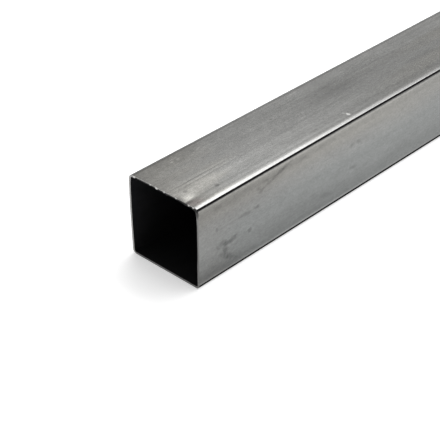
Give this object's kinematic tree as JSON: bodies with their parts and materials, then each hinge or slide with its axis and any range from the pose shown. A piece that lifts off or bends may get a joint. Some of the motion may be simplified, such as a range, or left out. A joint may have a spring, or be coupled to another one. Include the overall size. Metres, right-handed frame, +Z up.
{
  "type": "square metal tube",
  "caption": "Length of thin-walled square steel tube with rolled corners, a lengthwise weld seam and square-cut open ends.",
  "frame": {"origin": "under the middle of the tube, on the surface it lies on", "axes": "+X along the tube, -X towards the cut end that the picture shows, +Z up through the welded wall, +Y across"},
  "size_m": [1, 0.05, 0.05],
  "materials": {
    "mill_steel": "bare cold rolled steel, dull grey with fine lengthwise rolling streaks, faint stains and burnished corners"
  },
  "bodies": {
    "root": {"square_tube": "mill_steel"}
  },
  "joints": []
}
